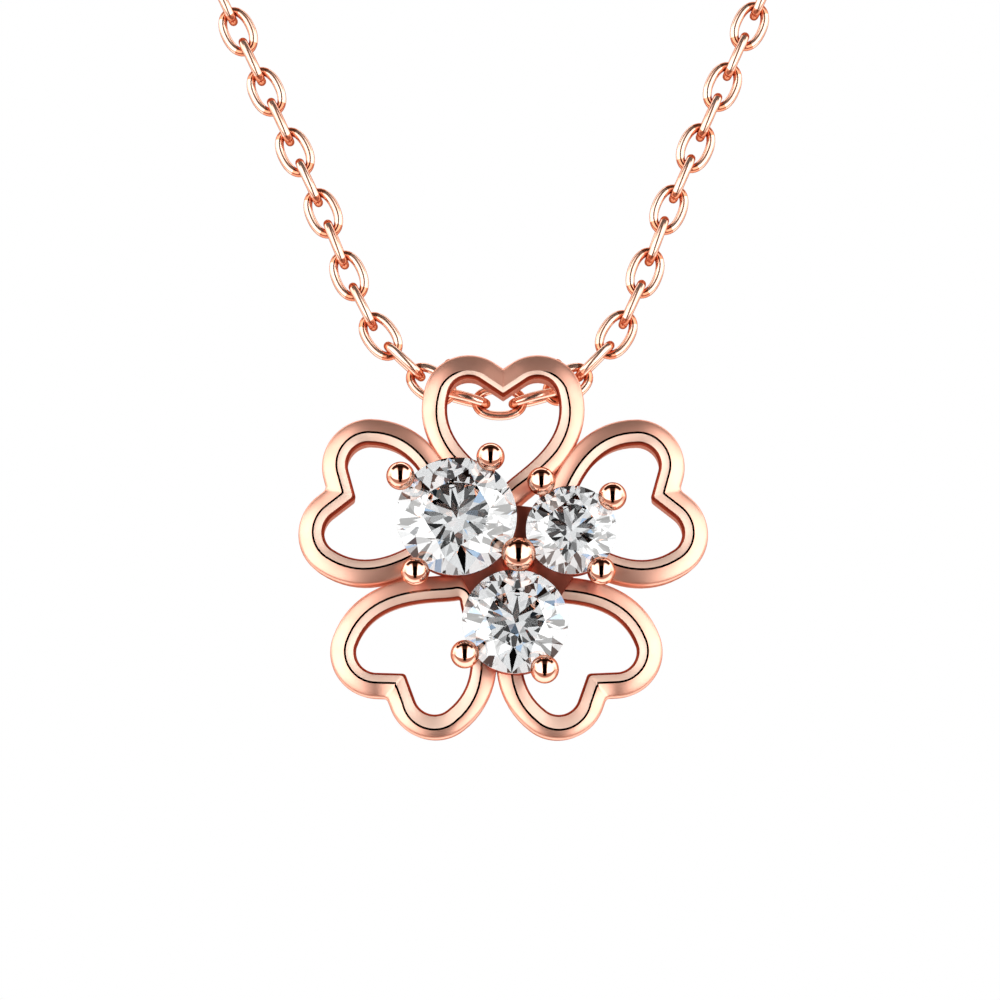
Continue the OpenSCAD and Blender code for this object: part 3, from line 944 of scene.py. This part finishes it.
def bright_between(tree, value, low, high, soft):
    """1 where the value lies between low and high, with soft edges."""
    up = add(tree, "MapRange", i0=value, i1=low - soft, i2=low + soft)
    down = add(tree, "MapRange", i0=value, i1=high - soft, i2=high + soft, i3=1.0, i4=0.0)
    return add(tree, "Math", operation="MULTIPLY", i0=up.outputs[0], i1=down.outputs[0]).outputs[0]


def studio_light():
    """A bright tent with a dark gap where the camera stands and a dark opening overhead.

    Through their facets the stones see dark and pale blue panels in place of the tent."""
    world = bpy.data.worlds.new("studio")
    bpy.context.scene.world = world
    world.use_nodes = True
    tree = world.node_tree
    tree.nodes.clear()
    ray = add(tree, "TexCoord").outputs["Generated"]
    turned_ray = add(tree, "VectorRotate", rotation_type="X_AXIS", Vector=ray, Angle=-LOOK_UP)
    across, deep, high = add(tree, "SeparateXYZ", i0=turned_ray.outputs[0]).outputs
    towards = add(tree, "Math", operation="MULTIPLY", i0=deep, i1=-1.0).outputs[0]
    lift = add(tree, "Math", operation="ARCTAN2", i0=high, i1=towards).outputs[0]
    aside = add(tree, "Math", operation="ARCSINE", i0=across).outputs[0]
    aside = add(tree, "Math", operation="ABSOLUTE", i0=aside).outputs[0]

    def darken(light, widest, lowest, highest, soft, share):
        """The light, brought down to a share in one part of the tent."""
        wide = add(tree, "MapRange", i0=aside, i1=widest - soft, i2=widest + soft, i3=1.0, i4=0.0)
        tall = bright_between(tree, lift, lowest, highest, soft)
        mask = add(tree, "Math", operation="MULTIPLY", i0=wide.outputs[0], i1=tall)
        left = add(tree, "MapRange", i0=mask.outputs[0], i3=1.0, i4=share)
        return add(tree, "Math", operation="MULTIPLY", i0=light, i1=left.outputs[0]).outputs[0]

    light = add(tree, "MapRange", i0=aside, i1=1.0, i2=1.4, i3=2.8, i4=1.5).outputs[0]
    for shade in SHADES:
        light = darken(light, *shade)
    warm = add(tree, "MapRange", i0=light, i1=0.2, i2=1.7).outputs[0]
    glow = add(tree, "Mix", data_type="RGBA", i0=warm, i6=(1.0, 0.48, 0.34, 1),
               i7=(1.0, 0.99, 0.97, 1))
    tent = add(tree, "Background", Color=glow.outputs[2], Strength=light)

    panels = add(tree, "TexVoronoi", Vector=ray, Scale=PANEL_SCALE, Randomness=1.0)
    pick = add(tree, "SeparateColor", i0=panels.outputs["Color"]).outputs
    grey = add(tree, "MapRange", i0=pick[0], i1=0.1, i2=0.42, i3=0.03, i4=1.12).outputs[0]
    blue = add(tree, "MapRange", i0=pick[1], i1=0.9, i2=0.92).outputs[0]
    tone = add(tree, "Mix", data_type="RGBA", i0=blue, i6=(0.97, 0.99, 1.0, 1),
               i7=(0.55, 0.75, 1.0, 1))
    panel = add(tree, "Background", Color=tone.outputs[2], Strength=darken(grey, *CORE))
    backdrop = add(tree, "Background", Color=(1, 1, 1, 1), Strength=1.0)
    path = add(tree, "LightPath").outputs
    through = add(tree, "MixShader", i0=path["Is Transmission Ray"], i1=tent.outputs[0],
                  i2=panel.outputs[0])
    both = add(tree, "MixShader", i0=path["Is Camera Ray"], i1=through.outputs[0],
               i2=backdrop.outputs[0])
    out = tree.nodes.new("ShaderNodeOutputWorld")
    tree.links.new(both.outputs[0], out.inputs[0])


def lay_floor():
    """A plain pale floor, well below the pendant. Its measures are in metres."""
    form = bmesh.new()
    bmesh.ops.create_grid(form, x_segments=1, y_segments=1, size=FLOOR_SIZE,
                          matrix=Matrix.Translation((0, 0, FLOOR_Z)))
    paper, tree, shader = new_material("pale_floor")
    grain = add(tree, "TexNoise", Scale=60.0)
    tone = add(tree, "Mix", data_type="RGBA", i0=grain.outputs["Fac"],
               i6=(0.86, 0.85, 0.84, 1), i7=(0.9, 0.89, 0.88, 1))
    tree.links.new(tone.outputs[2], shader.inputs["Base Color"])
    shader.inputs["Roughness"].default_value = 0.9
    floor = as_object("floor", form)
    floor.data.materials.append(paper)
    floor.visible_glossy = False
    floor.visible_transmission = False


studio_light()
lay_floor()
bpy.context.scene.view_settings.view_transform = "Standard"
bpy.context.scene.cycles.use_denoising = True
